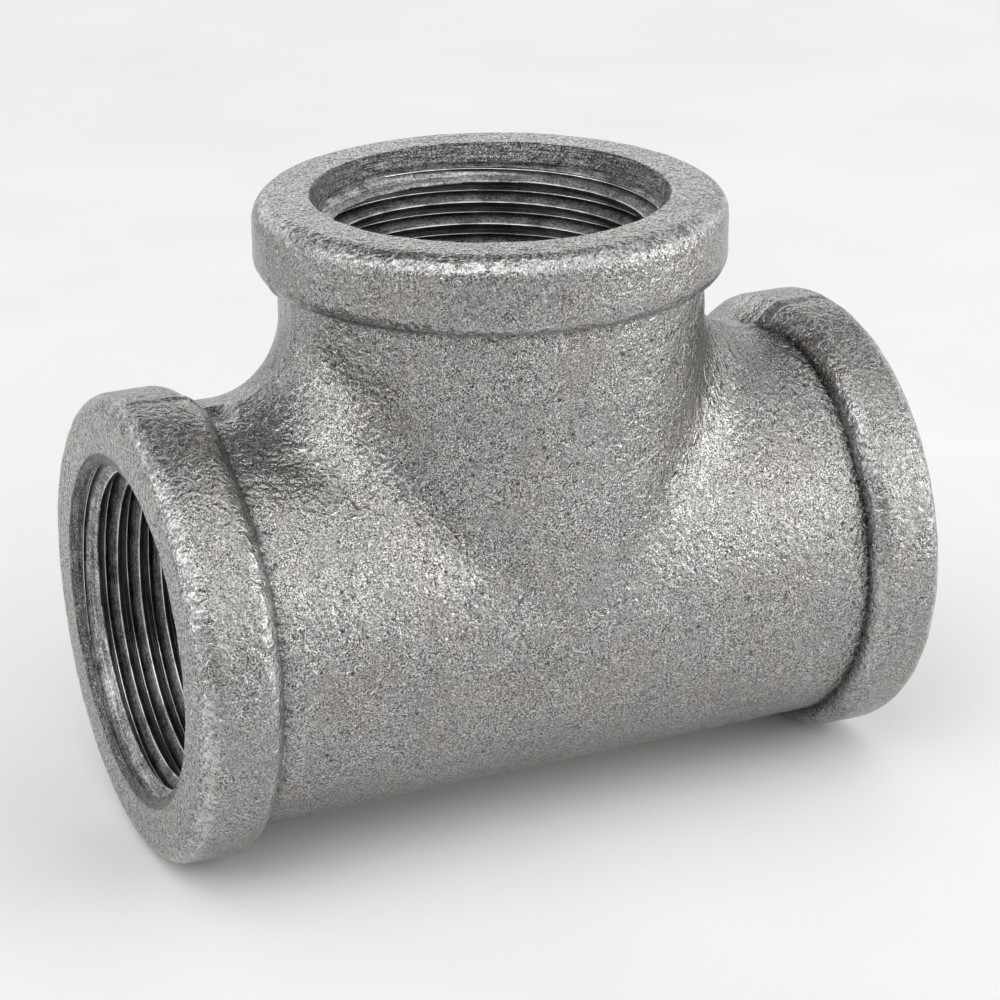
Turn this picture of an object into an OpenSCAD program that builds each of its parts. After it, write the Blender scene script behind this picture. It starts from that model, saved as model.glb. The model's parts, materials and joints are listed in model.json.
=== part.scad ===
// Banded pipe tee, one-inch size, with three female taper-threaded ports.
// The run lies along X and the branch rises along +Z. The origin is under the crossing of
// the two axes, level with the lowest points of the two run bands.
// A real tee is one iron casting. Here its zones are separate solids that meet face to face:
// the hollow body, a reinforcing band round each port and a threaded collar inside each band.

/* [Body] */
// Distance from the crossing of the axes to each end face
centre_to_end = 38.1; // [36:0.1:42]
// Outside diameter of the barrel that forms the run
barrel_d = 40.7; // [40.4:0.1:42]
// Outside diameter of the neck that forms the branch
neck_d = 40.5; // [39.6:0.1:40.6]
// Radius of the fillet in each crotch between the neck and the barrel
crotch_fillet = 8; // [5:0.5:9.5]
// Diameter of the cored waterway along the run
run_core_d = 33.6; // [32.6:0.1:34.4]
// Diameter of the cored waterway up the branch
branch_core_d = 33.4; // [32.4:0.1:33.5]

/* [Bands] */
// Outside diameter of each band
band_d = 45; // [44:0.1:48]
// Width of each band along its own axis
band_w = 7.7; // [6.5:0.1:9]
// Rounding between a band's side and its end face
face_rounding = 2.2; // [0.5:0.1:2.4]
// Rounding of a band's back edge, where it steps down to the barrel or neck
back_rounding = 2; // [0.4:0.1:2.1]
// Diameter of the cast countersink where it meets the end face
countersink_d = 33.8; // [33:0.1:34.8]
// Diameter of the cast countersink at its foot
countersink_foot_d = 31.6; // [31:0.1:32.4]
// Depth of the cast countersink in the two run ports
run_countersink_depth = 0.7; // [0.5:0.1:1.5]
// Depth of the cast countersink in the branch port
branch_countersink_depth = 1.9; // [0.5:0.1:2.1]

/* [Threaded collars] */
// Diameter of the machined counterbore under the foot of the countersink
lead_in_d = 32.8; // [32.4:0.1:33.2]
// Length of the counterbore, before it tapers at 45 degrees down to the crests
lead_in_length = 0.55; // [0.1:0.05:1]
// Diameter over the crests of the internal thread
crest_d = 29.7; // [29.2:0.1:30.2]
// Length of the threaded wall
thread_length = 14.7; // [12:0.1:15.4]
// Outside diameter of the collar of metal that holds the thread
collar_d = 35; // [34.9:0.1:37]

/* [Hidden] */
$fn = 96;

// Overshoot of every cutter past the face that it cuts
margin = 1;
// How far each crotch web starts beneath the barrel and neck, so that it merges with them
web_sink = 0.08;

axis_height = band_d / 2;
band_back = centre_to_end - band_w;
run_collar_top = centre_to_end - run_countersink_depth;
branch_collar_top = centre_to_end - branch_countersink_depth;
collar_length = lead_in_length + (lead_in_d - crest_d) / 2 + thread_length;

// Each fillet is the groove that a ball of the fillet's radius leaves while it rolls down the
// crotch. Near the crotch its centre follows a circle of the radius web_bend, which lies in
// the plane that halves the crotch and passes through the crossing of the axes.
web_r = neck_d / 2 - web_sink;
web_bend = (web_r + crotch_fillet) / sqrt(2);
web_reach = (2 * web_r + crotch_fillet) / sqrt(2);
web_half_height = crotch_fillet / sqrt(2);
web_half_width = web_bend - crotch_fillet;

iron = [0.40, 0.40, 0.39];
band_iron = [0.46, 0.46, 0.45];
cut_iron = [0.26, 0.26, 0.27];

// Placements: children are drawn with +Z pointing out of the port, from the axes' crossing
module at_left() { translate([0, 0, axis_height]) rotate([0, -90, 0]) children(); }
module at_right() { translate([0, 0, axis_height]) rotate([0, 90, 0]) children(); }
module at_branch() { translate([0, 0, axis_height]) children(); }

// The sharp corner that a rounding of radius r removes from the corner at the origin
module corner_cut(r) {
    translate([-r, -r])
        difference() {
            square([r + margin, r + margin]);
            circle(r = r);
        }
}

// Half section of a band: a ring with a lip, whose inside is the countersink
module band_section(collar_top) {
    difference() {
        translate([collar_d / 2, band_back])
            square([(band_d - collar_d) / 2, band_w]);
        translate([band_d / 2, centre_to_end])
            corner_cut(face_rounding);
        translate([band_d / 2, band_back])
            mirror([0, 1])
                corner_cut(back_rounding);
    }
    polygon([
        [countersink_foot_d / 2, collar_top],
        [collar_d / 2 + margin, collar_top],
        [collar_d / 2 + margin, centre_to_end],
        [countersink_d / 2, centre_to_end]
    ]);
}

// Half section of a threaded collar: the machined lead-in, then the wall at the crests
module collar_section(collar_top) {
    thread_foot = collar_top - collar_length;
    polygon([
        [lead_in_d / 2, collar_top],
        [collar_d / 2, collar_top],
        [collar_d / 2, thread_foot],
        [crest_d / 2, thread_foot],
        [crest_d / 2, thread_foot + thread_length],
        [lead_in_d / 2, collar_top - lead_in_length]
    ]);
}

module band(collar_top) {
    color(band_iron) rotate_extrude() band_section(collar_top);
}

module collar(collar_top) {
    color(cut_iron) rotate_extrude() collar_section(collar_top);
}

// Room in the body for one threaded collar
module collar_seat(collar_top) {
    translate([0, 0, collar_top - collar_length])
        cylinder(h = collar_length, d = collar_d);
}

// The metal that rounds off the crotch on the left, in the frame of the axes' crossing
module crotch_web() {
    rotate([0, -135, 0])
        difference() {
            rotate([90, 0, 0])
                linear_extrude(height = 2 * web_half_width, center = true)
                    polygon([
                        [0, 0],
                        [web_reach, -web_half_height],
                        [web_reach, web_half_height]
                    ]);
            translate([web_bend, 0, 0])
                rotate_extrude()
                    translate([web_bend, 0])
                        circle(r = crotch_fillet);
        }
}

module body_outside() {
    rotate([0, 90, 0])
        cylinder(h = 2 * band_back, d = barrel_d, center = true);
    cylinder(h = band_back, d = neck_d);
    crotch_web();
    mirror([1, 0, 0]) crotch_web();
}

// The waterway, and the seats of the three threaded collars
module body_inside() {
    rotate([0, 90, 0])
        cylinder(h = 2 * (band_back + margin), d = run_core_d, center = true);
    cylinder(h = band_back + margin, d = branch_core_d);
    collar_seat(branch_collar_top);
    for (turn = [-90, 90])
        rotate([0, turn, 0])
            collar_seat(run_collar_top);
}

module tee_body() {
    color(iron)
        translate([0, 0, axis_height])
            difference() {
                body_outside();
                body_inside();
            }
}

module left_band() { at_left() band(run_collar_top); }
module right_band() { at_right() band(run_collar_top); }
module branch_band() { at_branch() band(branch_collar_top); }
module left_thread() { at_left() collar(run_collar_top); }
module right_thread() { at_right() collar(run_collar_top); }
module branch_thread() { at_branch() collar(branch_collar_top); }

tee_body();
left_band();
right_band();
branch_band();
left_thread();
right_thread();
branch_thread();
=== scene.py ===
import json
import math

import bpy
import numpy as np
from mathutils import Matrix, Vector


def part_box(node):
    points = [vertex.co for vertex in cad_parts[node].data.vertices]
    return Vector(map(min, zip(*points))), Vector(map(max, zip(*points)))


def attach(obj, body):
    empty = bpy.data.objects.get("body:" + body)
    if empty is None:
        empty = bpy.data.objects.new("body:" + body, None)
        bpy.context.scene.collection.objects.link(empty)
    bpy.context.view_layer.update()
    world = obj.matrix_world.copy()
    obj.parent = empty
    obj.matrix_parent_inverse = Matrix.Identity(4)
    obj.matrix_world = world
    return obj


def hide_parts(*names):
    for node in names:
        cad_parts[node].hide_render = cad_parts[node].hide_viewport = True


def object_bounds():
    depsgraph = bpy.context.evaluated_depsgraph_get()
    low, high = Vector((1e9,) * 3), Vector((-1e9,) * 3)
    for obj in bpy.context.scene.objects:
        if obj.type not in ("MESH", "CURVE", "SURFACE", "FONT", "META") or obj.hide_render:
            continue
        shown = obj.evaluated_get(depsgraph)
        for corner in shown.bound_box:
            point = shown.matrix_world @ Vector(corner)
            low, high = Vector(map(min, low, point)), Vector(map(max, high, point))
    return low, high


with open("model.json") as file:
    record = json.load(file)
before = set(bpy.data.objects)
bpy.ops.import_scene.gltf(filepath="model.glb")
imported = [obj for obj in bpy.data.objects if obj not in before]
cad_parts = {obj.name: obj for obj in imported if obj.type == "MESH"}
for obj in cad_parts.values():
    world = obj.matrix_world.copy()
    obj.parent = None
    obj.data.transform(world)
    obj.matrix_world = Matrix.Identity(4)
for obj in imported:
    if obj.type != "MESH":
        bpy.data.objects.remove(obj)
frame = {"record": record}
cad_low, cad_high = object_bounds()

# A banded malleable-iron pipe tee: one sand casting with three tapped ports.
# Its shapes are worked out in millimetres about the crossing of its two axes, and are then
# moved up to the frame's origin and scaled to metres. A port's own coordinates are a radius,
# an angle and a depth, which is measured inwards from the port's end face.

# ---------------------------------------------------------------- sizes, in millimetres
MM = 0.001


def extent(node, axis):
    """The lowest and highest value of a CAD node along one axis."""
    low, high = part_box(node)
    return low[axis] / MM, high[axis] / MM


MOUNTS = {mount["name"]: mount for mount in frame["record"]["mounts"]}
AXIS_HEIGHT = MOUNTS["left_port"]["pos_m"][2] / MM
END = cad_high.x / MM
BAND_R = cad_high.y / MM
BAND_WIDTH = END + extent("left_band", 0)[1]
BAND_BACK = END - BAND_WIDTH
BARREL_R = extent("tee_body", 1)[1]
COLLAR_R = extent("left_thread", 1)[1]
COLLAR_LENGTH = extent("left_thread", 0)[1] - extent("left_thread", 0)[0]
RUN_COUNTERSINK = END + extent("left_thread", 0)[0]
BRANCH_COUNTERSINK = cad_high.z / MM - extent("branch_thread", 2)[1]

# The casting
NECK_R = BARREL_R - 0.1
CROTCH_FILLET = 8.0
RUN_CORE_R = 16.8
BRANCH_CORE_R = 16.7
CORE_FILLET = 2.5
SPIGOT = 0.9          # how far the body reaches into the back of each band
SPIGOT_SINK = 0.25    # how far the band closes in over it
SKIN = 0.13           # how far the waves and dimples of the sand stand off the outside
CORE_SKIN = 0.12      # the same on the cored inside
BAND_SKIN = 0.1       # and, inwards only, on the bands
CREASE_REACH = 0.45   # how far the painted shade and grime spread from the groove behind a band

# The ridge that the mould's parting left in the plane y = 0: its height and half width. Then
# the gap where it was broken off: its place about the left band's back, half sizes and depth
FLASH_HEIGHT = 0.2
FLASH_WIDTH = 0.42
NOTCH_OFFSET = (2.3, -0.3)
NOTCH_SIZE = (1.3, 1.7, 2.0)
NOTCH_DEPTH = 0.9

# The bands
FACE_ROUNDING = 2.2
BACK_ROUNDING = 2.0
COUNTERSINK_R = 16.9
COUNTERSINK_FOOT_R = 15.8
MOUTH_ROUNDING = 0.35
# How much further a run band's back runs onto the barrel: all round, and on top where the
# mould parted; and the middle of that part along Y
LEFT_SPREAD = (0.7, 0.9, 0.0)
RIGHT_SPREAD = (0.0, 2.8, 4.5)
SPREAD_REACH = 6.0    # half the width of that part

# The threads: 11.5 to the inch, tapered 1 in 16 on the diameter, with broad crests
PITCH = 25.4 / 11.5
TAPER = 1 / 32
MOUTH_CREST_R = 15.05
THREAD_DEPTH = 1.38
FLANK = THREAD_DEPTH * math.tan(math.radians(30))
ROOT_FLAT = 0.12
CREST_FLAT = PITCH - 2 * FLANK - ROOT_FLAT
FIRST_CREST = 1.375   # depth of the first crest's outer edge under the collar's top, towards +Y
LEAD_IN_R = 16.4
LEAD_IN_LENGTH = 0.4
CHAMFER_R = 15.73     # where the lead-in's chamfer turns steeper
CHAMFER_LENGTH = 0.78
STEEP_LENGTH = 0.4

# Where turned marks are sampled from their noise, and how much they change along themselves
MARKS_OFFSET = 40
MARKS_DRIFT = 0.06

# The mesh
NET_CELL = 0.475
BAND_COLUMNS = 420
THREAD_COLUMNS = 300


class Port:
    """One end of the fitting: an axis that points out of it, and two directions across."""

    def __init__(self, name, axis, countersink):
        self.name = name
        self.axis = np.array(axis, float)
        self.across = np.array([0.0, 1.0, 0.0])
        self.up = np.cross(self.axis, self.across)
        self.countersink = countersink

    def tool_marks(self, points):
        """Coordinates in which a turned surface's marks run round the port: they change
        quickly across the marks and slowly along them."""
        along = points @ self.axis
        radius = np.linalg.norm(points - along[:, None] * self.axis, axis=1)
        across = np.stack([radius + MARKS_OFFSET, along, np.zeros(len(points))], -1)
        return across + points * MARKS_DRIFT

    def place(self, radius, angle, depth):
        """Points about the axes' crossing, from the port's own coordinates."""
        radius, angle, depth = np.broadcast_arrays(radius, angle, depth)
        along = self.axis * (END - depth)[..., None]
        side = self.across * np.cos(angle)[..., None] + self.up * np.sin(angle)[..., None]
        return along + side * radius[..., None]


PORTS = [
    Port("left", (-1, 0, 0), RUN_COUNTERSINK),
    Port("right", (1, 0, 0), RUN_COUNTERSINK),
    Port("branch", (0, 0, 1), BRANCH_COUNTERSINK),
]


# ---------------------------------------------------------------- noise
NOISE_TABLE = 64


def value_noise(points, cell, seed):
    """Smooth random values from -1 to 1, which change over about one cell."""
    table = np.random.default_rng(seed).uniform(-1, 1, (NOISE_TABLE,) * 3)
    place = points / cell + 1000.0
    corner = np.floor(place).astype(int)
    part = place - corner
    ease = part * part * part * (part * (part * 6 - 15) + 10)
    total = np.zeros(len(points))
    for step in np.ndindex(2, 2, 2):
        weight = np.prod(np.where(step, ease, 1 - ease), axis=1)
        index = (corner + step) % NOISE_TABLE
        total += weight * table[index[:, 0], index[:, 1], index[:, 2]]
    return total


def turned_noise(points, cell, seed):
    """Value noise on a lattice that is turned out of the axes, so that no rows show."""
    turn = Matrix.Rotation(0.7 + seed, 3, Vector((1, 2, 3)).normalized())
    return value_noise(points @ np.array(turn), cell, seed)


def cast_skin(points, seed):
    """Waves and dimples of a sand-cast skin, about -1 to 1."""
    waves = turned_noise(points, 7.0, seed) * 0.35
    dimples = turned_noise(points, 2.4, seed + 1) * 0.4
    grains = turned_noise(points, 1.1, seed + 2) * 0.25
    return waves + dimples + grains


# ---------------------------------------------------------------- mesh helpers
def add_mesh(name, points, faces, material, attributes=None):
    """A smooth-shaded object from points in millimetres about the axes' crossing."""
    mesh = bpy.data.meshes.new(name)
    placed = (points + np.array([0, 0, AXIS_HEIGHT])) * MM
    mesh.from_pydata(placed.tolist(), [], faces)
    mesh.polygons.foreach_set("use_smooth", [True] * len(mesh.polygons))
    for key, values in (attributes or {}).items():
        values = np.asarray(values, np.float32)
        if values.ndim == 2:
            layer = mesh.attributes.new(key, "FLOAT_VECTOR", "POINT")
            layer.data.foreach_set("vector", values.ravel())
        else:
            layer = mesh.attributes.new(key, "FLOAT", "POINT")
            layer.data.foreach_set("value", values)
    mesh.materials.append(material)
    mesh.validate()
    mesh.update()
    piece = bpy.data.objects.new(name, mesh)
    bpy.context.scene.collection.objects.link(piece)
    return piece


def surface_net(field, low, high, cell):
    """The surface where a field is zero: one point in each grid cell that it crosses, and one
    quad for each grid edge that it crosses. The field is below zero inside the solid."""
    axes = [np.arange(a, b + cell, cell) for a, b in zip(low, high)]
    grid = np.stack(np.meshgrid(*axes, indexing="ij"), -1)
    size = np.array(grid.shape[:3])
    value = field(grid.reshape(-1, 3)).reshape(size)
    inside = value < 0
    total = np.zeros((*(size - 1), 3))
    count = np.zeros(size - 1)
    for axis in range(3):
        ends = [slice(None)] * 3
        for side in np.ndindex(2, 2):
            others = [k for k in range(3) if k != axis]
            for k, step in zip(others, side):
                ends[k] = slice(step, step + size[k] - 1)
            start, stop = list(ends), list(ends)
            start[axis], stop[axis] = slice(0, -1), slice(1, None)
            start, stop = tuple(start), tuple(stop)
            crossed = inside[start] != inside[stop]
            a, b = value[start][crossed], value[stop][crossed]
            crossing = grid[start][crossed]
            crossing[:, axis] += cell * a / (a - b)
            total[crossed] += crossing
            count[crossed] += 1
    used = count > 0
    number = np.full(count.shape, -1)
    number[used] = np.arange(used.sum())
    points = total[used] / count[used][:, None]
    faces = []
    for axis in range(3):
        u, v = (axis + 1) % 3, (axis + 2) % 3
        core = [slice(1, -1)] * 3
        first, second = list(core), list(core)
        first[axis], second[axis] = slice(0, -1), slice(1, None)
        a, b = inside[tuple(first)], inside[tuple(second)]
        crossed = np.argwhere(a != b)
        outward = a[tuple(crossed.T)]
        crossed[:, u] += 1
        crossed[:, v] += 1
        ring = []
        for du, dv in ((-1, -1), (0, -1), (0, 0), (-1, 0)):
            around = crossed.copy()
            around[:, u] += du
            around[:, v] += dv
            ring.append(number[tuple(around.T)])
        ring = np.stack(ring, -1)
        ring[~outward] = ring[~outward][:, ::-1]
        faces.append(ring)
    return points, np.concatenate(faces)


def slope(field, points, step=0.02):
    """The gradient of a field at the points."""
    parts = []
    for axis in range(3):
        shift = np.zeros(3)
        shift[axis] = step
        parts.append((field(points + shift) - field(points - shift)) / (2 * step))
    return np.stack(parts, -1)


def settle(field, points, rounds=3):
    """Moves points onto the field's zero surface, and returns them with its normals."""
    for _ in range(rounds):
        normal = slope(field, points)
        steep = np.maximum((normal ** 2).sum(1), 0.25)
        points = points - normal * (field(points) / steep)[:, None]
    normal = slope(field, points)
    return points, normal / np.maximum(np.linalg.norm(normal, axis=1), 1e-6)[:, None]


def section(*strokes):
    """Joins strokes of (radius, depth) points into one outline, without repeated points."""
    points = np.concatenate([np.asarray(stroke, float) for stroke in strokes])
    keep = np.linalg.norm(points - np.roll(points, 1, axis=0), axis=1) > 1e-6
    return points[keep]


def line(start, end, step):
    """Evenly spaced points from start to end."""
    start, end = np.array(start, float), np.array(end, float)
    count = max(1, math.ceil(np.linalg.norm(end - start) / step))
    return start + (end - start) * np.linspace(0, 1, count + 1)[:, None]


def arc(centre, radius, start_deg, end_deg, count):
    """Points along an arc in the (radius, depth) plane."""
    angle = np.radians(np.linspace(start_deg, end_deg, count + 1))
    return np.array(centre) + radius * np.stack([np.cos(angle), np.sin(angle)], -1)


# ---------------------------------------------------------------- the body
def blend(d1, d2, cosine, radius):
    """The union of two solids, with the groove between them filled by a rolling ball. The
    cosine is that of the angle between their outward normals."""
    a, b = radius - d1, radius - d2
    cosine = np.clip(cosine, -1, 1 - 1e-9)
    in_groove = (a > b * cosine) & (b > a * cosine) & (a + b > 0)
    reach = ((a - b) ** 2 + 2 * a * b * (1 - cosine)) / (1 - cosine * cosine)
    filled = radius - np.sqrt(np.maximum(reach, 0))
    return np.where(in_groove, filled, np.minimum(d1, d2))


def crossing_tubes(points, run_r, branch_r, fillet):
    """Distance to a run along X and a branch that rises from it along +Z."""
    x, y, z = points.T
    below = np.minimum(z, 0)
    run = np.hypot(y, z)
    branch = np.sqrt(x * x + y * y + below * below)
    cosine = (y * y + z * below) / np.maximum(run * branch, 1e-6)
    return blend(run - run_r, branch - branch_r, cosine, fillet)


def casting_outside(points):
    return crossing_tubes(points, BARREL_R, NECK_R, CROTCH_FILLET)


def casting_inside(points):
    """Distance to the cored waterway and the three seats of the threaded collars."""
    core = crossing_tubes(points, RUN_CORE_R, BRANCH_CORE_R, CORE_FILLET)
    for port in PORTS:
        along = points @ port.axis
        radius = np.linalg.norm(points - along[:, None] * port.axis, axis=1)
        foot = END - port.countersink - COLLAR_LENGTH
        core = np.minimum(core, np.maximum(radius - COLLAR_R, foot - along))
    return core


def body_field(points):
    x, y, z = points.T
    ends = np.maximum(np.abs(x), z) - (BAND_BACK + SPIGOT)
    return np.maximum(np.maximum(casting_outside(points), -casting_inside(points)), ends)


def parting_flash(points):
    """Height of the low ridge that the mould's parting left along the plane y = 0."""
    wander = 0.12 * turned_noise(points, 5.0, 71)
    width = FLASH_WIDTH + 0.12 * turned_noise(points, 3.0, 72)
    height = FLASH_HEIGHT + 0.06 * turned_noise(points, 1.6, 73)
    return height * np.exp(-(((points[:, 1] - wander) / width) ** 2))


def flash_notch(points):
    """Depth of the small gap where the flash was broken off next to the left band."""
    centre = np.array([NOTCH_OFFSET[0] - BAND_BACK, NOTCH_OFFSET[1], BARREL_R])
    away = (points - centre) / np.array(NOTCH_SIZE)
    return NOTCH_DEPTH * np.exp(-((away ** 2).sum(1) ** 2))


def band_spread(port, points):
    """How much further a band's back runs onto the casting, in millimetres, and how full
    the groove behind it is there, from 0 to 1."""
    if port.name == "branch":
        return np.zeros(len(points)), np.zeros(len(points))
    everywhere, at_parting, middle = LEFT_SPREAD if port.name == "left" else RIGHT_SPREAD
    fill = np.exp(-(((points[:, 1] - middle) / SPREAD_REACH) ** 2)) * (points[:, 2] > 0)
    return everywhere + at_parting * fill + 0.12 * turned_noise(points, 4.0, 81), fill


def crease_shade(points):
    """How near points of the barrel or neck are to the groove behind a band, 0 to 1: how strong
    the painted shade and grime are there.
    """
    shade = np.zeros(len(points))
    for port in PORTS:
        spread, fill = band_spread(port, points)
        gap = np.maximum(BAND_BACK - spread - points @ port.axis, 0)
        shade = np.maximum(shade, np.exp(-((gap / CREASE_REACH) ** 2)) * (1 - fill))
    return shade


def make_body(material):
    reach = BAND_BACK + SPIGOT + 1
    low = (-reach, -BARREL_R - 1, -BARREL_R - 1)
    high = (reach, BARREL_R + 1, reach)
    points, faces = surface_net(body_field, low, high, NET_CELL)
    points, normal = settle(body_field, points)
    outer = np.abs(casting_outside(points)) < 0.02
    inner = np.abs(casting_inside(points)) < 0.02
    skin = cast_skin(points, 11)
    rise = np.where(outer, SKIN * skin + parting_flash(points) - flash_notch(points), 0)
    rise = np.where(inner & ~outer, CORE_SKIN * skin, rise)
    points = points + normal * rise[:, None]
    flash = np.where(outer, np.exp(-((points[:, 1] / 0.6) ** 2)), 0)
    # Painted shade and grime in the groove behind each band, and painted shade in the flash's
    # notch
    crease = np.where(outer, np.maximum(crease_shade(points), flash_notch(points)), 0)
    marks = {"flash": flash, "crease": crease}
    return add_mesh("cast_body", points, faces.tolist(), material, marks)


# ---------------------------------------------------------------- the bands
def make_band(port, material, seed):
    """A reinforcing band, turned from its section, with the countersink inside it."""
    step = 0.3
    back = BAND_WIDTH
    foot = port.countersink
    lip = MOUTH_ROUNDING
    slant = math.degrees(math.atan2(foot, COUNTERSINK_R - COUNTERSINK_FOOT_R))
    lip_length = lip * math.tan(math.radians(slant / 2))
    cone = np.array([COUNTERSINK_FOOT_R - COUNTERSINK_R, foot])
    cone /= np.linalg.norm(cone)
    cone_top = np.array([COUNTERSINK_R, 0]) + cone * lip_length
    outline = section(
        line((COUNTERSINK_FOOT_R, foot), cone_top, 0.2),
        arc((COUNTERSINK_R + lip_length, lip), lip, 270 - slant, 270, 4),
        line((COUNTERSINK_R + lip_length, 0), (BAND_R - FACE_ROUNDING, 0), step),
        arc((BAND_R - FACE_ROUNDING, FACE_ROUNDING), FACE_ROUNDING, -90, 0, 12),
        line((BAND_R, FACE_ROUNDING), (BAND_R, back - BACK_ROUNDING), step),
        arc((BAND_R - BACK_ROUNDING, back - BACK_ROUNDING), BACK_ROUNDING, 0, 90, 12),
        line((BAND_R - BACK_ROUNDING, back), (BARREL_R - SPIGOT_SINK, back), 0.15),
        [(BARREL_R - SPIGOT_SINK, back - SPIGOT)],
        [(COLLAR_R, back - SPIGOT)],
        [(COLLAR_R, foot)],
    )
    ahead = np.roll(outline, -1, axis=0) - np.roll(outline, 1, axis=0)
    normal = np.stack([ahead[:, 1], -ahead[:, 0]], -1)
    normal /= np.linalg.norm(normal, axis=1)[:, None]
    shown = np.arange(len(outline)) < len(outline) - 3
    angle = np.linspace(0, 2 * math.pi, BAND_COLUMNS, endpoint=False)
    flat = port.place(outline[:, 0][:, None], angle, outline[:, 1][:, None])
    skin = cast_skin(flat.reshape(-1, 3), seed).reshape(flat.shape[:2])
    on_side = shown * np.clip(outline[:, 1] - 0.6 * FACE_ROUNDING, 0, 1)
    ridge = parting_flash(flat.reshape(-1, 3)).reshape(flat.shape[:2]) * (flat[..., 2] > 0)
    sink = np.where(shown[:, None], BAND_SKIN * (1 - skin), 0) - ridge * on_side[:, None]
    spread, fill = band_spread(port, flat.reshape(-1, 3))
    spread, fill = spread.reshape(flat.shape[:2]), fill.reshape(flat.shape[:2])
    rearward = np.clip((outline[:, 1] - FACE_ROUNDING) / (back - FACE_ROUNDING), 0, 1) ** 2
    inward = np.clip((BAND_R - outline[:, 0]) / (BAND_R - BARREL_R), 0, 1) ** 3
    rearward = np.where(shown, rearward * (0.4 + 0.6 * inward), 0)
    points = port.place(
        outline[:, 0][:, None] - normal[:, 0][:, None] * sink,
        angle,
        outline[:, 1][:, None] - normal[:, 1][:, None] * sink + rearward[:, None] * spread,
    )
    rows, columns = flat.shape[:2]
    number = np.arange(rows * columns).reshape(rows, columns)
    below, beside = np.roll(number, -1, axis=0), np.roll(number, -1, axis=1)
    faces = np.stack([number, below, np.roll(below, -1, axis=1), beside], -1)
    # Bright rubbed rings at the front and back roundings: partly real wear, partly a painted
    # highlight
    front = np.hypot(outline[:, 0] - BAND_R, outline[:, 1]) - 0.45 * FACE_ROUNDING
    rear = np.hypot(outline[:, 0] - BAND_R, outline[:, 1] - back) - 0.45 * BACK_ROUNDING
    wear_and_highlight = np.exp(-((front / 0.35) ** 2)) + 0.6 * np.exp(-((rear / 0.4) ** 2))
    mouth = np.clip((COUNTERSINK_R + lip_length - outline[:, 0]) / 0.2, 0, 1)
    face = (1 - mouth) * np.clip(1 - outline[:, 1] / (0.4 * FACE_ROUNDING), 0, 1)
    # Painted shade and grime in the groove between the band's back and the barrel
    groove = np.hypot(outline[:, 0] - BARREL_R, outline[:, 1] - back)
    crease = np.exp(-((groove / CREASE_REACH) ** 2))
    points = points.reshape(-1, 3)
    marks = {"turned": port.tool_marks(points)}
    marks["crease"] = (crease[:, None] * (1 - fill)).ravel()
    for key, value in (("wear_and_highlight", wear_and_highlight), ("mouth", mouth), ("face", face)):
        marks[key] = np.repeat(value, columns)
    return add_mesh(f"{port.name}_rim", points, faces.reshape(-1, 4).tolist(), material, marks)


# ---------------------------------------------------------------- the threads
def thread_section():
    """One pitch of the thread as (distance past a crest's outer edge, height over the crest),
    with each corner rounded by a few points."""
    corners = [
        (0.0, 0.0, 0.05),
        (CREST_FLAT, 0.0, 0.05),
        (CREST_FLAT + FLANK, THREAD_DEPTH, 0.055),
        (CREST_FLAT + FLANK + ROOT_FLAT, THREAD_DEPTH, 0.055),
    ]
    points = []
    for k, (along, high, cut) in enumerate(corners):
        before = np.array(corners[k - 1][:2]) - ((PITCH, 0) if k == 0 else (0, 0))
        after = np.array(corners[(k + 1) % 4][:2]) + ((PITCH, 0) if k == 3 else (0, 0))
        here = np.array([along, high])
        start = here + (before - here) / np.linalg.norm(before - here) * cut
        end = here + (after - here) / np.linalg.norm(after - here) * cut
        for t in np.linspace(0, 1, 5):
            points.append((1 - t) ** 2 * start + 2 * t * (1 - t) * here + t * t * end)
        next_cut = corners[(k + 1) % 4][2]
        stop = after + (here - after) / np.linalg.norm(after - here) * next_cut
        count = max(2, math.ceil(np.linalg.norm(stop - end) / 0.16))
        for t in np.linspace(0, 1, count + 1)[1:-1]:
            points.append(end + (stop - end) * t)
    return np.array(points)


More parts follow.
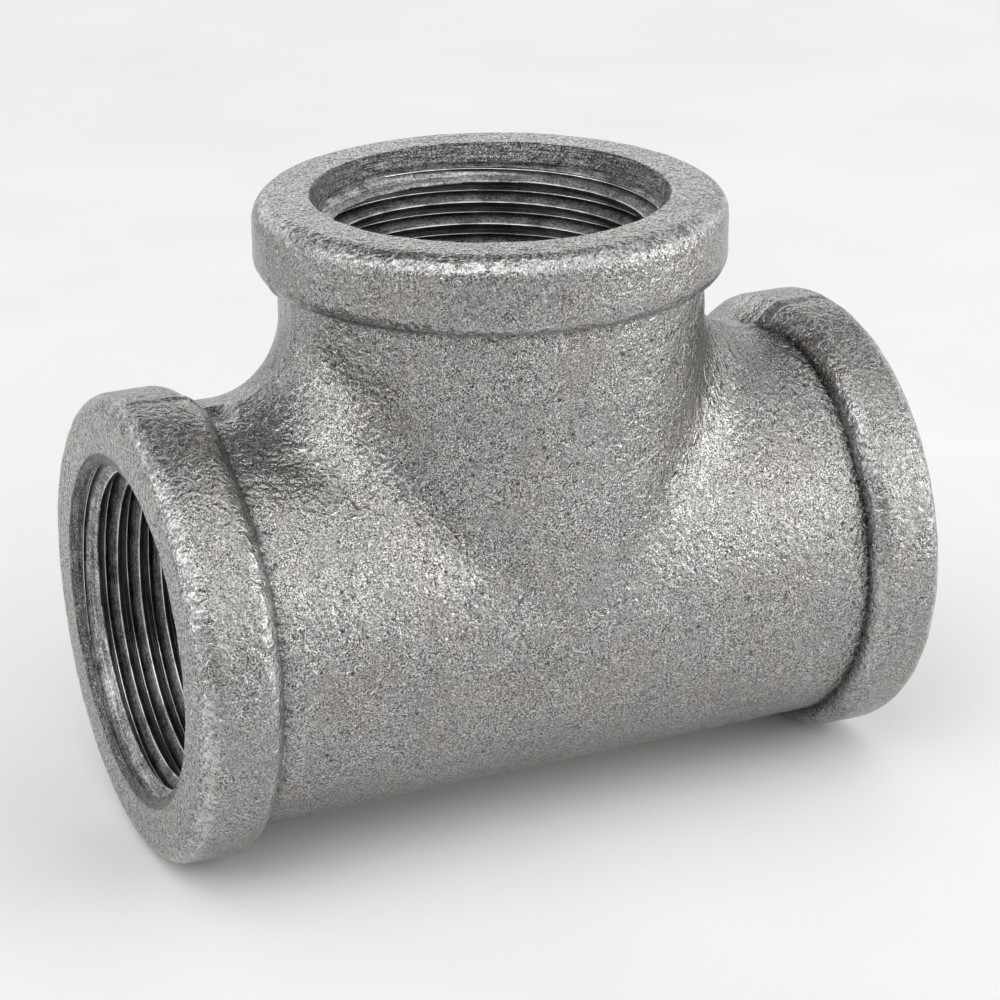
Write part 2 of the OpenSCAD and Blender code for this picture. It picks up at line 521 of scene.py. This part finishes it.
def make_thread(port, material):
    """A threaded collar. Its inside is a grid whose rows run along the helix. Where a row
    leaves the thread at either end, its points fall together on the end's ring."""
    top = port.countersink
    start, foot = top + LEAD_IN_LENGTH, top + COLLAR_LENGTH
    pitch = thread_section()
    turns = range(-2, math.ceil(COLLAR_LENGTH / PITCH) + 2)
    along = np.concatenate([pitch[:, 0] + k * PITCH for k in turns])
    high = np.tile(pitch[:, 1], len(turns))
    angle = np.linspace(0, 2 * math.pi, THREAD_COLUMNS, endpoint=False)
    depth = top + FIRST_CREST + along[:, None] - PITCH * angle / (2 * math.pi)
    above, under = depth <= start + 0.005, depth >= foot - 0.005
    depth = np.clip(depth, start, foot)
    # On an end's ring, the height comes from the helix at that depth
    past = (depth - top - FIRST_CREST + PITCH * angle / (2 * math.pi)) % PITCH
    order = np.argsort(pitch[:, 0] % PITCH)
    ring_high = np.interp(
        past, (pitch[:, 0] % PITCH)[order], pitch[order, 1], period=PITCH
    )
    high = np.where(above | under, ring_high, high[:, None])
    radius = MOUTH_CREST_R - depth * TAPER + high
    chamfer_end = start + CHAMFER_LENGTH
    stops = (start, chamfer_end, chamfer_end + STEEP_LENGTH, foot)
    chamfer = np.interp(depth, stops, (LEAD_IN_R, CHAMFER_R, MOUTH_CREST_R - 0.05, 0))
    # How rough each point was left: the flanks that face the mouth, more towards the crest. The
    # same ramp darkens those flanks towards the root, which is painted shade.
    torn_flank_and_shade = np.where(past > CREST_FLAT + FLANK, 1 - high / THREAD_DEPTH, 0)
    torn_flank_and_shade = np.where(chamfer > radius, 1, torn_flank_and_shade)
    # The crest's outer edge, brightened as burr and painted highlight
    crest = (np.minimum(past, PITCH - past) < 0.04) & (chamfer < radius)
    # The root, which is painted bright all along as a painted highlight
    root = (high > THREAD_DEPTH - 0.02) & (chamfer < radius)
    radius = np.maximum(radius, chamfer)
    radius[above] = LEAD_IN_R
    rows, columns = depth.shape
    inner = port.place(radius, angle, depth)
    number = np.full((rows, columns + 1), -1)
    body = number[:, :columns]
    free = ~(above | under)
    body[free] = np.arange(free.sum()) + 2 * columns
    body[above] = np.broadcast_to(np.arange(columns), (rows, columns))[above]
    body[under] = np.broadcast_to(np.arange(columns) + columns, (rows, columns))[under]
    number[:, columns] = np.roll(number[:, 0], len(pitch))
    number[: len(pitch), columns] = 0
    foot_radius = radius[-1]
    points = [
        port.place(LEAD_IN_R, angle, start),
        port.place(foot_radius, angle, foot),
        inner[free],
    ]
    faces = []
    corner = np.stack(
        [number[:-1, :-1], number[:-1, 1:], number[1:, 1:], number[1:, :-1]], -1
    )
    for quad in corner.reshape(-1, 4).tolist():
        unique = list(dict.fromkeys(quad))
        if len(unique) > 2:
            faces.append(unique)
    # The counterbore, the top ledge, the outer wall and the foot
    ring = np.arange(columns)
    count = 2 * columns + int(free.sum())
    loops = [ring]
    for r, d in ((LEAD_IN_R, top), (COLLAR_R, top), (COLLAR_R, foot)):
        points.append(port.place(r, angle, d))
        loops.append(ring + count)
        count += columns
    loops.append(ring + columns)
    for upper, lower in zip(loops, loops[1:]):
        quads = np.stack([upper, lower, np.roll(lower, -1), np.roll(upper, -1)], -1)
        faces += quads.tolist()
    points = np.concatenate([p.reshape(-1, 3) for p in points])
    marks = {"turned": port.tool_marks(points)}
    for key, value in (("torn_flank_and_shade", torn_flank_and_shade), ("crest", crest), ("root", root)):
        marks[key] = np.zeros(len(points))
        marks[key][2 * columns :][: int(free.sum())] = value[free]
    marks["torn_flank_and_shade"][:columns] = 1
    marks["torn_flank_and_shade"][count - 3 * columns : count - 2 * columns] = 1
    piece = add_mesh(f"{port.name}_collar", points, faces, material, marks)
    piece.data.set_sharp_from_angle(angle=math.radians(40))
    return piece


# ---------------------------------------------------------------- materials
class Nodes:
    """A material's node tree, with short calls to add to it."""

    def __init__(self, name):
        self.material = bpy.data.materials.new(name)
        self.material.use_nodes = True
        self.tree = self.material.node_tree
        self.shader = self.tree.nodes["Principled BSDF"]
        self.place = self.add("ShaderNodeTexCoord").outputs["Object"]

    def add(self, kind, inputs=None, **settings):
        node = self.tree.nodes.new(kind)
        for key, value in settings.items():
            setattr(node, key, value)
        for key, value in (inputs or {}).items():
            self.feed(node.inputs[key], value)
        return node

    def feed(self, socket, value):
        if isinstance(value, bpy.types.NodeSocket):
            self.tree.links.new(value, socket)
        else:
            socket.default_value = value

    def math(self, operation, a, b):
        return self.add("ShaderNodeMath", {0: a, 1: b}, operation=operation).outputs[0]

    def noise(self, size_mm, detail=2.0, roughness=0.5, place=None, distortion=0.0):
        """Noise from 0 to 1 whose features are about size_mm across."""
        inputs = {
            "Vector": place or self.place,
            "Scale": 1 / (size_mm * MM),
            "Detail": detail,
            "Roughness": roughness,
            "Distortion": distortion,
        }
        return self.add("ShaderNodeTexNoise", inputs).outputs["Fac"]

    def cells(self, size_mm):
        """Distance to the nearest of scattered points about size_mm apart."""
        inputs = {"Vector": self.place, "Scale": 1 / (size_mm * MM)}
        return self.add("ShaderNodeTexVoronoi", inputs).outputs["Distance"]

    def remap(self, value, low, high, to_low=0.0, to_high=1.0):
        inputs = {"Value": value, 1: low, 2: high, 3: to_low, 4: to_high}
        return self.add("ShaderNodeMapRange", inputs, clamp=True).outputs[0]

    def mix(self, factor, a, b, blend_type="MIX"):
        node = self.add("ShaderNodeMix", data_type="RGBA", blend_type=blend_type)
        self.feed(node.inputs[0], factor)
        self.feed(node.inputs[6], a)
        self.feed(node.inputs[7], b)
        return node.outputs[2]

    def attribute(self, name):
        return self.add("ShaderNodeAttribute", attribute_name=name).outputs["Fac"]

    def turned(self):
        """The coordinates that Port.tool_marks gives, in metres."""
        marks = self.add("ShaderNodeAttribute", attribute_name="turned").outputs["Vector"]
        inputs = {0: marks, 1: (MM, MM, MM)}
        return self.add("ShaderNodeVectorMath", inputs, operation="MULTIPLY").outputs[0]

    def weigh(self, *terms):
        """The sum of (value, weight) pairs."""
        total = 0.0
        for value, weight in terms:
            node = self.add("ShaderNodeMath", {0: value, 1: weight, 2: total})
            node.operation = "MULTIPLY_ADD"
            total = node.outputs[0]
        return total

    def bump(self, height):
        """A normal from a height in millimetres."""
        inputs = {"Height": height, "Distance": MM, "Strength": 1.0}
        return self.add("ShaderNodeBump", inputs).outputs["Normal"]


def grey(value, warmth=0.0):
    """A grey that leans towards brown, or towards blue where the warmth is below zero."""
    return (value * (1 + warmth / 3), value, value * (1 - warmth), 1.0)


def cast_iron(name, level, sharpness, pit_mm, marks):
    """Grey shot-blasted iron skin: sand grain, pits, faint rust, the marks of use with a
    painted highlight on worn edges, and painted shade with grime in the grooves behind the
    bands.
    """
    n = Nodes(name)
    sand = n.noise(0.085, 0.0)
    grain = n.noise(0.2, 1.0, 0.5)
    crumb = n.noise(0.6, 2.0, 0.6)
    worms = n.noise(1.0, 1.0, 0.5, distortion=1.2)
    stain = n.noise(2.6, 3.0, 0.6)
    broad = n.noise(9.0, 2.0, 0.5)
    pits = n.remap(n.cells(pit_mm), 0.04, 0.12)
    # Height, in millimetres
    height = n.weigh((grain, 0.02), (crumb, 0.12), (worms, 0.2), (pits, 0.03))
    # Colour
    coarse = n.weigh((crumb, 0.1), (worms, 0.1), (stain, 0.05), (broad, 0.06))
    tone = n.weigh((sand, sharpness), (grain, 0.5), (coarse, 1.0))
    middle = 0.405 + sharpness / 2
    calm = n.remap(stain, 0.4, 0.62, 0.0, 0.45)
    tone = n.mix(calm, tone, (middle, middle, middle, 1))
    tone = n.math("POWER", n.remap(tone, middle - 0.25, middle + 0.25), 1.7)
    colour = n.mix(tone, grey(level * 0.16, 0.04), grey(min(0.95, level * 3.6), 0.04))
    colour = n.mix(pits, grey(level * 0.25, 0.05), colour)
    rust = n.math("MULTIPLY", n.remap(n.noise(6.0, 4.0, 0.65), 0.5, 0.72), 0.35)
    colour = n.mix(rust, colour, n.mix(1.0, colour, (1, 0.85, 0.76, 1), "MULTIPLY"))
    # Painted shade, with some grime: a near-black colour in the grooves behind the bands and in
    # the flash's notch
    shade_and_grime = n.math("MULTIPLY", n.attribute("crease"), n.remap(crumb, 0.35, 0.65, 0.8, 0.2))
    colour = n.mix(shade_and_grime, colour, grey(level * 0.15, 0.05))
    # Worn edges painted near-white: partly real wear, partly a painted highlight
    if "wear_and_highlight" in marks:
        patch = n.math("MULTIPLY", n.remap(crumb, 0.36, 0.56), n.remap(stain, 0.36, 0.5))
        worn_and_highlit = n.math("MULTIPLY", n.attribute("wear_and_highlight"), patch)
        colour = n.mix(worn_and_highlit, colour, n.mix(tone, grey(level * 1.3), grey(0.95)))
    if "mouth" in marks:
        scores = n.noise(0.16, 1.0, 0.5, n.turned())
        chips = n.noise(0.17, 2.0, 0.6)
        scored = n.remap(n.weigh((scores, 0.5), (chips, 0.6)), 0.44, 0.7, 0.13, 0.68)
        dark = n.mix(1.0, colour, scored, "MULTIPLY")
        colour = n.mix(n.attribute("mouth"), colour, dark)
        specks = n.remap(n.noise(0.28, 1.0, 0.5), 0.34, 0.54, 0.32, 1.38)
        specked = n.mix(1.0, colour, specks, "MULTIPLY")
        colour = n.mix(n.attribute("face"), colour, specked)
    if "flash" in marks:
        flash = n.math("MULTIPLY", n.attribute("flash"), 0.6)
        colour = n.mix(flash, colour, grey(level * 1.5, 0.01))
    n.feed(n.shader.inputs["Base Color"], colour)
    n.feed(n.shader.inputs["Roughness"], n.remap(grain, 0.3, 0.7, 0.24, 0.36))
    n.shader.inputs["Metallic"].default_value = 1.0
    n.feed(n.shader.inputs["Normal"], n.bump(height))
    return n.material


def machined_iron(name):
    """Metal cut by a tap: smooth dark crests, torn grey flanks with painted shade towards their
    roots, bright burred edges with a painted highlight, and roots with a painted highlight.
    """
    n = Nodes(name)
    fine = n.noise(0.085, 0.0)
    tears = n.noise(0.22, 2.0, 0.6)
    broad = n.noise(2.2, 2.0, 0.5)
    scores = n.noise(0.13, 1.0, 0.5, n.turned())
    torn_flank_and_shade, root = n.attribute("torn_flank_and_shade"), n.attribute("root")
    torn = n.weigh((fine, 0.5), (tears, 0.5), (scores, 0.5), (broad, 0.4))
    torn = n.mix(n.remap(torn, 0.8, 1.1), grey(0.06, -0.02), grey(0.8, -0.01))
    dirt = n.remap(n.noise(0.4, 3.0, 0.65), 0.46, 0.6, 0.0, 0.4)
    torn = n.mix(dirt, torn, grey(0.06, 0.02))
    rust = n.remap(n.noise(0.8, 3.0, 0.7), 0.6, 0.66, 0.0, 0.5)
    torn = n.mix(rust, torn, (0.32, 0.2, 0.12, 1))
    smooth = n.mix(n.remap(broad, 0.35, 0.65), grey(0.09, -0.06), grey(0.17, -0.05))
    # The torn colour fades to the dark smooth one towards each root: painted shade on the
    # flanks that face the mouth
    colour = n.mix(n.remap(torn_flank_and_shade, 0.0, 0.5), smooth, torn)
    # Crest edges made bright in broken lengths: partly burrs, partly a painted highlight
    burr_and_highlight = n.math("MULTIPLY", n.attribute("crest"), n.remap(broad, 0.36, 0.56, 0.25, 0.9))
    # Roots painted near-white along their whole length: a painted highlight
    colour = n.mix(n.math("MAXIMUM", burr_and_highlight, root), colour, grey(0.9))
    rough = n.remap(torn_flank_and_shade, 0.0, 0.4, 0.24, 0.5)
    rough = n.math("SUBTRACT", rough, n.math("MULTIPLY", root, 0.14))
    n.feed(n.shader.inputs["Base Color"], colour)
    n.feed(n.shader.inputs["Roughness"], rough)
    n.shader.inputs["Metallic"].default_value = 1.0
    height = n.weigh((fine, 0.008), (tears, 0.015), (scores, 0.012))
    n.feed(n.shader.inputs["Normal"], n.bump(height))
    return n.material


def pale_floor(name):
    n = Nodes(name)
    tone = n.remap(n.noise(40.0, 2.0), 0.3, 0.7)
    n.feed(n.shader.inputs["Base Color"], n.mix(tone, grey(0.86), grey(0.9)))
    n.shader.inputs["Roughness"].default_value = 0.7
    n.shader.inputs["Specular IOR Level"].default_value = 0.2
    return n.material


# ---------------------------------------------------------------- camera, light and floor
SOFTBOX_DISTANCE = 0.8    # metres
FLOOR_HALF_SIDE = 2.0     # metres


def direction(azimuth, elevation):
    """A unit vector towards a viewer: azimuth 0 stands in front, on the -Y side."""
    a, e = math.radians(azimuth), math.radians(elevation)
    return Vector((math.sin(a) * math.cos(e), -math.cos(a) * math.cos(e), math.sin(e)))


def make_camera():
    """The photograph's viewpoint, round the crossing of the axes."""
    azimuth, elevation, roll = -24.52, 21.82, -0.52
    distance, right_shift, up_shift = 297.95 * MM, 0.667 * MM, 6.165 * MM
    camera_data = bpy.data.cameras.new("camera")
    camera_data.sensor_width = 36
    camera_data.lens = 109.02
    camera_data.clip_start = 0.01
    camera = bpy.data.objects.new("camera", camera_data)
    bpy.context.scene.collection.objects.link(camera)
    back = direction(azimuth, elevation)
    right = Vector((math.cos(math.radians(azimuth)), math.sin(math.radians(azimuth)), 0))
    up = back.cross(right)
    centre = Vector((0, 0, AXIS_HEIGHT * MM))
    camera.location = centre + back * distance + right * right_shift + up * up_shift
    turn = Matrix((right, up, back)).transposed() @ Matrix.Rotation(math.radians(roll), 3, "Z")
    camera.rotation_mode = "QUATERNION"
    camera.rotation_quaternion = turn.to_quaternion()
    bpy.context.scene.camera = camera


def softbox(name, azimuth, elevation, width, height, radiance):
    """A rectangular area light that faces the fitting."""
    light = bpy.data.lights.new(name, "AREA")
    light.shape = "RECTANGLE"
    light.size, light.size_y = width, height
    light.energy = radiance * width * height * math.pi
    lamp = bpy.data.objects.new(name, light)
    bpy.context.scene.collection.objects.link(lamp)
    towards = direction(azimuth, elevation)
    lamp.location = Vector((0, 0, AXIS_HEIGHT * MM)) + towards * SOFTBOX_DISTANCE
    lamp.rotation_mode = "QUATERNION"
    lamp.rotation_quaternion = (-towards).to_track_quat("-Z", "Y")


def make_stage():
    scene = bpy.context.scene
    scene.view_settings.view_transform = "Standard"
    world = bpy.data.worlds.new("studio")
    scene.world = world
    world.use_nodes = True
    background = world.node_tree.nodes["Background"]
    background.inputs["Color"].default_value = (0.97, 0.985, 1, 1)
    background.inputs["Strength"].default_value = 0.2
    softbox("right_key", 62, 5, 0.4, 0.34, 3.2)
    softbox("right_high", 60, 26, 0.4, 0.32, 2.1)
    softbox("right_front", 30, 8, 0.4, 0.4, 1.3)
    softbox("right_fill", 30, 30, 0.4, 0.32, 1.45)
    softbox("upper_right", 38, 54, 0.5, 0.34, 1.1)
    softbox("right_side", 105, 18, 0.8, 0.5, 1.0)
    softbox("front", 0, 26, 0.4, 0.36, 1.4)
    softbox("upper_left", -36, 46, 0.45, 0.36, 2.6)
    softbox("left_fill", -60, 24, 0.36, 0.36, 1.1)
    softbox("left_side", -90, 24, 0.42, 0.4, 2.2)
    softbox("left_low", -110, 5, 0.5, 0.3, 1.4)
    softbox("left_rear", -150, 22, 0.6, 0.5, 0.9)
    softbox("rear", 163, 21, 0.75, 0.4, 1.3)
    softbox("overhead", 0, 72, 0.5, 0.4, 1.1)
    softbox("overhead_left", -80, 60, 0.5, 0.4, 1.3)
    softbox("overhead_right", 100, 62, 0.5, 0.4, 0.85)
    side = FLOOR_HALF_SIDE
    corners = [(-side, -side, 0), (side, -side, 0), (side, side, 0), (-side, side, 0)]
    mesh = bpy.data.meshes.new("floor")
    mesh.from_pydata(corners, [], [(0, 1, 2, 3)])
    mesh.materials.append(pale_floor("pale_floor"))
    floor = bpy.data.objects.new("floor", mesh)
    scene.collection.objects.link(floor)


# ---------------------------------------------------------------- the pieces
make_camera()
make_stage()

body = make_body(cast_iron("body_skin", 0.228, 1.15, 2.2, ("flash",)))
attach(body, "root")
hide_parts("tee_body")

band_skin = cast_iron("band_skin", 0.235, 0.75, 1.1, ("wear_and_highlight", "mouth"))
thread_metal = machined_iron("thread_metal")
for number, port in enumerate(PORTS):
    band = make_band(port, band_skin, 31 + 10 * number)
    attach(band, "root")
    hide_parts(f"{port.name}_band")
    collar = make_thread(port, thread_metal)
    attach(collar, "root")
    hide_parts(f"{port.name}_thread")
